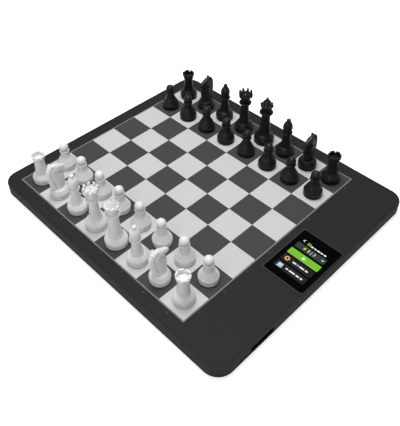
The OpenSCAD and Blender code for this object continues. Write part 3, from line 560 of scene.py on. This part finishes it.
def makeKing():
    size = kingSet
    collarZ = size["height"] - 25.3
    rimZ = size["height"] - 13
    crown = size["crown"]
    lobe = size["lobe"]
    body = [*shoulderOutline(size["base"], 11, 14.2),
            *curve([[10.5, 14.4], [8.6, 19.5], [7.4, 28], [6.5, 40], [6, collarZ - 1.7]]),
            *collarOutline(size["collar"], collarZ, 3), [6.2, collarZ + 1.7], [0, collarZ + 1.8]]
    cup = [[0, collarZ], [6.5, collarZ], *curve([[6.5, collarZ + 2], [6.8, collarZ + 5], [8.2, collarZ + 9],
           [crown - 1, rimZ]]), [crown - 2.4, rimZ + 0.5],
           *curve([[7.2, rimZ + 0.6], [6.6, rimZ + 3], [4.6, rimZ + 6.6], [2.2, rimZ + 9.6],
                   [1.2, rimZ + 10.4]]),
           *arc([0, size["height"] - 1.6], [1.6, 1.6], -48, 90, 8)]
    cup[-1][0] = 0
    knob = crownShape([[0, -lobe], *arc([0, 0], [lobe, lobe], -80, 80, 14), [0, lobe]])
    crownForm = bmesh.new()
    spin(crownForm, cup, 64)
    crownForm.from_mesh(roundRing(knob, size["lobes"], crown - lobe, rimZ))
    form = turnedForm(size["base"], body)
    form.from_mesh(fused(meshFrom(crownForm, "crown"), size["voxel"]))
    return meshFrom(form, "king")


# front point, back point and half width of each level, as (ahead, up)
knightLevels = [
    ((8.6, 13.4), (-8.6, 13.4), 6.6), ((8.9, 17), (-9.6, 17.5), 6.3), ((10, 23.5), (-11.2, 24.5), 6),
    ((10.8, 30), (-12.9, 32), 5.4), ((10.2, 34.8), (-13.2, 39), 5), ((4.2, 38.1), (-12.2, 45.6), 4.7),
    ((5.2, 39.9), (-8.2, 51.6), 4.8), ((8.2, 40.2), (-1.5, 53), 4.4), ((10.4, 40.4), (4.5, 50.8), 3.7),
    ((12.3, 40.8), (9.5, 48.7), 3.2), ((13.8, 42), (12.6, 46.7), 2.8), ((14.5, 43.3), (14.1, 45.2), 1.7),
]
knightDetail = {"maneDepth": 1.1, "maneWaves": 8.5, "maneFrom": 0.1, "maneTo": 0.62, "grooveAt": -0.5,
                "grooveWidth": 0.13, "grooveDepth": 0.3}


def knightRing(front, back, half, along):
    look = knightDetail
    middle = [(f + b) / 2 for f, b in zip(front, back)]
    reach = [(f - b) / 2 for f, b in zip(front, back)]
    length = math.hypot(*reach)
    inMane = look["maneFrom"] < along < look["maneTo"]
    wave = abs(math.sin(along * look["maneWaves"] * math.pi / (look["maneTo"] - look["maneFrom"])))
    ring = []
    for k in range(knightSet["sides"]):
        a = 2 * math.pi * k / knightSet["sides"]
        c, s = math.cos(a), math.sin(a)
        ahead = math.copysign(abs(c) ** 0.9, c)
        side = math.copysign(abs(s) ** 0.8, s)
        groove = look["grooveDepth"] * math.exp(-((ahead - look["grooveAt"]) / look["grooveWidth"]) ** 2)
        fade = min(1, max(0, (0.66 - along) / 0.08)) * min(1, max(0, (along - 0.02) / 0.06))
        side *= 1 - groove * fade
        if inMane and ahead < look["grooveAt"]:
            side *= 1 + 0.1 * (wave - 0.4)
        bulge = 1 + (look["maneDepth"] * wave * max(-c, 0) ** 4 / length if inMane else 0)
        ring.append((side * half, *[m + ahead * bulge * r for m, r in zip(middle, reach)]))
    return ring


def pressed(form, centre, radius, depth):
    # moves the skin in (or out, where depth is negative) round a point
    spot = Vector(centre) * mm
    for vert in form.verts:
        gap = (vert.co - spot).length / (radius * mm)
        if gap < 1:
            vert.co -= vert.normal * depth * mm * (1 - gap * gap) ** 2


def makeKnight():
    steps = knightSet["steps"]
    fronts = curve([level[0] for level in knightLevels], steps)
    backs = curve([level[1] for level in knightLevels], steps)
    halves = curve([(level[2],) for level in knightLevels], steps)
    last = len(fronts) - 1
    rings = [knightRing(fronts[i], backs[i], halves[i][0], i / last) for i in range(last + 1)]
    tail = [[(0, *[(f + b) / 2 for f, b in zip(fronts[i], backs[i])])] for i in (0, last)]
    head = bmesh.new()
    closedRings(head, [tail[0], *rings, tail[1]])
    bmesh.ops.recalc_face_normals(head, faces=head.faces)
    for side in (-1, 1):
        ear = bmesh.new()
        outline = curve([[2.2, 0], [2.2, 1.6], [1.6, 3.4], [0.7, 4.6]], 5)
        spin(ear, [[0, -1.5], [2.1, -1.5], *outline, [0, 4.9]], 24)
        lean = (Matrix.Translation(Vector((side * 2.5, -6.2, 50.2)) * mm)
                @ Matrix.Rotation(math.radians(-8), 4, "X") @ Matrix.Rotation(math.radians(side * 9), 4, "Y"))
        ear.transform(lean)
        mesh = bpy.data.meshes.new("ear")
        ear.to_mesh(mesh)
        ear.free()
        head.from_mesh(mesh)
        eye = bmesh.ops.create_uvsphere(head, u_segments=16, v_segments=10, radius=1.15 * mm)
        bmesh.ops.translate(head, verts=eye["verts"], vec=Vector((side * 3.75, 1.2, 48.6)) * mm)
    skin = bmesh.new()
    skin.from_mesh(fused(meshFrom(head, "knightHead"), knightSet["voxel"]))
    skin.normal_update()
    for side in (-1, 1):
        pressed(skin, (side * 3.4, 12.6, 45.6), 1.3, 0.9)
        pressed(skin, (side * 3.6, 2.8, 43.6), 3.6, -0.5)
        pressed(skin, (side * 4.4, -1.6, 47.8), 1.8, 0.5)
        pressed(skin, (side * 2.6, -5.2, 53.4), 1.3, 0.5)
        for k in range(8):
            t = k / 7
            pressed(skin, (side * mix(2.6, 3.2, t), mix(14.4, 9.6, t), mix(43.2, 42.2, t)), 0.9, 0.45)
    base = knightSet["base"]
    form = turnedForm(base, [*shoulderOutline(base, 10, 14), [9.6, 14.25], [0, 14.3]])
    blank = bpy.data.meshes.new("skin")
    skin.to_mesh(blank)
    skin.free()
    form.from_mesh(blank)
    return meshFrom(form, "knight", 60)


makers = {"pawn": makePawn, "rook": makeRook, "knight": makeKnight, "bishop": makeBishop, "queen": makeQueen,
          "king": makeKing}
sideFinish = {"white": "ivory", "black": "ebony"}
squareSide = 0.04
menNames = sorted(n for n in nodes if n.split("_")[0] in sideFinish)
patterns = {}
for kind, maker in makers.items():
    patterns[kind] = maker()
    print("piece form:", kind, len(patterns[kind].polygons), "faces")
for man in menNames:
    side, kind, square = man.split("_")
    low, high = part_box(man)
    mesh = patterns[kind].copy()
    mesh.name = man + "_form"
    stand = Vector(((low[0] + high[0]) / 2, (low[1] + high[1]) / 2, low[2]))
    if kind == "knight":
        row = round((low[1] + high[1]) / 2 / squareSide - 0.5) + 0.5  # the head overhangs ahead
        stand.y = row * squareSide
    if side == "black":
        mesh.transform(Matrix.Rotation(math.pi, 4, "Z"))
    mesh.transform(Matrix.Translation(stand))
    mesh.materials.clear()
    mesh.materials.append(finishes[sideFinish[side]])
    for face in mesh.polygons:
        face.material_index = 0
    piece = bpy.data.objects.new(man + "_piece", mesh)
    scene.collection.objects.link(piece)
    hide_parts(man)
    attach(piece, man + "_body")
print("pieces standing:", len(menNames))


glassLow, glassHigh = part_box("display_glass")
glassMiddle = Vector(((glassLow[0] + glassHigh[0]) / 2, (glassLow[1] + glassHigh[1]) / 2, glassHigh[2]))
screenTone = {
    "field": glowFinish("screenField", (0.03, 0.034, 0.036)),
    "dimField": glowFinish("screenDimField", (0.006, 0.006, 0.007)),
    "green": glowFinish("screenGreen", (0.18, 0.52, 0.03)),
    "white": glowFinish("screenWhite", (0.85, 0.85, 0.85)),
    "yellow": glowFinish("screenYellow", (0.9, 0.75, 0.05)),
    "orange": glowFinish("screenOrange", (0.75, 0.42, 0.2)),
    "blue": glowFinish("screenBlue", (0.55, 0.68, 0.8)),
}


# bars as x, y, width, height and corner; rows as y and the lengths of their dashes
screenSet = {
    "lift": 0.02, "thick": 0.015, "dashHigh": 2.2, "dashCorner": 0.8,
    "heading": {"x": -4.2, "y": 23.6, "step": 4.7, "dashes": (4.2, 3.0, 4.6, 3.4, 3.8), "high": 2.1},
    "leaves": {"x": -10.5, "y": 24.4, "step": 2.6, "radii": (1.1, 2.6)},
    "timeField": (-0.4, 15, 43.4, 9.6, 1.6), "moreField": (17.6, 15, 7.4, 7.4, 1.5),
    "startBar": (-0.1, 1.6, 44.8, 10.4, 0.9),
    "rows": ((-11.4, (5.4, 1.6, 7.2, 4.0)), (-24.6, (3.4, 8.6, 4.8, 3.2))),
    "rowBar": (-0.3, 44.2, 10.8, 1.2), "rowStart": -7.2, "dashGap": 1.4,
    "wheel": {"place": (-15.4, -11.4), "outer": 3.4, "inner": 1.6},
    "laptop": ((-15.4, -24.2, 6.4, 4.6, 0.6), (-15.4, -27.6, 7.4, 1.2, 0.5)),
    "figures": {"words": "5 | 3", "size": 6.4, "place": (0.8, 15, 0.06)},
}


def roundedBar(form, x, y, w, h, r, layer, slot):
    # a flat bar centred at x, y on the glass
    points = []
    for cx, cy, start in ((1, 1, 0), (-1, 1, 90), (-1, -1, 180), (1, -1, 270)):
        points += arc([x + cx * (w / 2 - r), y + cy * (h / 2 - r)], [r, r], start, start + 90, 6)
    height = screenSet["lift"] * layer
    ring = [form.verts.new(glassMiddle + Vector((px, py, height)) * mm) for px, py in points]
    face = form.faces.new(ring)
    face.material_index = slot
    side = bmesh.ops.extrude_face_region(form, geom=[face])
    bmesh.ops.translate(form, verts=[v for v in side["geom"] if isinstance(v, bmesh.types.BMVert)],
                        vec=(0, 0, -screenSet["thick"] * mm))


def drawnShape(form, x, y, points, layer, slot):
    # a flat shape from its own points round x, y
    height = screenSet["lift"] * layer
    ring = [form.verts.new(glassMiddle + Vector((x + px, y + py, height)) * mm) for px, py in points]
    form.faces.new(ring).material_index = slot


def drawScreen():
    form = bmesh.new()
    look = screenSet
    tones = list(screenTone)
    tone = tones.index
    # heading: a chevron, two leaves and plain dashes
    drawnShape(form, -17.8, 25.4, [(1.6, 2.4), (-1.4, 0), (1.6, -2.4), (1.6, -1.2), (0.1, 0), (1.6, 1.2)], 1,
               tone("white"))
    leaves = look["leaves"]
    for k in range(2):
        leaf = arc([0, 0], leaves["radii"], 0, 345, 12)
        drawnShape(form, leaves["x"] + leaves["step"] * k, leaves["y"], leaf, 1, tone("green"))
    heading = look["heading"]
    for k, length in enumerate(heading["dashes"]):
        roundedBar(form, heading["x"] + heading["step"] * k, heading["y"], length, heading["high"],
                   look["dashCorner"], 1, tone("white"))
    # time field: a bolt, room for two figures and a chevron
    roundedBar(form, *look["timeField"], 1, tone("field"))
    roundedBar(form, *look["moreField"], 2, tone("field"))
    bolt = [(1.4, 3.2), (-1.9, -0.5), (-0.2, -0.5), (-1.2, -3.2), (2.1, 0.6), (0.4, 0.6)]
    drawnShape(form, -9.4, 15, bolt, 3, tone("yellow"))
    chevron = [(-2.2, 1.2), (0, -1.3), (2.2, 1.2), (1.1, 1.2), (0, 0), (-1.1, 1.2)]
    drawnShape(form, 17.4, 15, chevron, 3, tone("white"))
    # start bar with a plain arrow
    roundedBar(form, *look["startBar"], 1, tone("green"))
    drawnShape(form, -0.4, 1.6, [(-2.2, 2.7), (2.8, 0), (-2.2, -2.7)], 2, tone("white"))
    # two plain rows, each with an icon
    barX, barW, barH, barCorner = look["rowBar"]
    for y, dashes in look["rows"]:
        roundedBar(form, barX, y, barW, barH, barCorner, 1, tone("dimField"))
        x = look["rowStart"]
        for dash in dashes:
            roundedBar(form, x + dash / 2, y, dash, look["dashHigh"], look["dashCorner"], 2, tone("white"))
            x += dash + look["dashGap"]
    wheel = look["wheel"]
    drawnShape(form, *wheel["place"], arc([0, 0], [wheel["outer"]] * 2, 0, 345, 23), 2, tone("orange"))
    drawnShape(form, *wheel["place"], arc([0, 0], [wheel["inner"]] * 2, 0, 345, 15), 3, tone("dimField"))
    for bar, name in zip(look["laptop"], ("blue", "white")):
        roundedBar(form, *bar, 2, tone(name))
    mesh = bpy.data.meshes.new("screenPicture")
    form.to_mesh(mesh)
    form.free()
    for name in tones:
        mesh.materials.append(screenTone[name])
    picture = bpy.data.objects.new("screenPicture", mesh)
    scene.collection.objects.link(picture)
    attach(picture, "board")


def flatText(name, words, size, place, finish, thick=0.01):
    # plain figures made into a mesh, laid at place
    data = bpy.data.curves.new(name, "FONT")
    data.body = words
    data.size = size * mm
    data.extrude = thick * mm
    data.align_x = "CENTER"
    data.align_y = "CENTER"
    helper = bpy.data.objects.new(name + "Text", data)
    scene.collection.objects.link(helper)
    graph = bpy.context.evaluated_depsgraph_get()
    mesh = bpy.data.meshes.new_from_object(helper.evaluated_get(graph))
    bpy.data.objects.remove(helper)
    mesh.name = name
    mesh.transform(Matrix.Translation(Vector(place)))
    mesh.materials.clear()
    mesh.materials.append(finish)
    return mesh


def joined(name, meshes):
    form = bmesh.new()
    for mesh in meshes:
        form.from_mesh(mesh)
    whole = bpy.data.meshes.new(name)
    form.to_mesh(whole)
    form.free()
    whole.materials.append(meshes[0].materials[0])
    piece = bpy.data.objects.new(name, whole)
    scene.collection.objects.link(piece)
    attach(piece, "board")
    return piece


drawScreen()
timeLook = screenSet["figures"]
timePlace = glassMiddle + Vector(timeLook["place"]) * mm
figures = [flatText("timeFigures", timeLook["words"], timeLook["size"], timePlace, screenTone["white"])]
joined("screenFigures", figures)
print("display drawn")


markSet = {"size": 3.6, "fileRow": -165.6, "rankColumn": 165.1, "lift": 0.012, "lineWidth": 1.8}


def markSquares():
    low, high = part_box("border_line")
    fieldX = (low[0] + high[0]) / 2
    square = (high[0] - low[0] - 2 * markSet["lineWidth"] * mm) / 8
    top = high[2] + markSet["lift"] * mm
    marks = []
    for k in range(8):
        step = (k - 3.5) * square
        marks.append(flatText("file", "abcdefgh"[k], markSet["size"],
                              (fieldX + step, markSet["fileRow"] * mm, top), finishes["mark"]))
        marks.append(flatText("rank", str(k + 1), markSet["size"],
                              (fieldX + markSet["rankColumn"] * mm, step, top), finishes["mark"]))
    joined("squareMarks", marks)


markSquares()
print("marks laid")
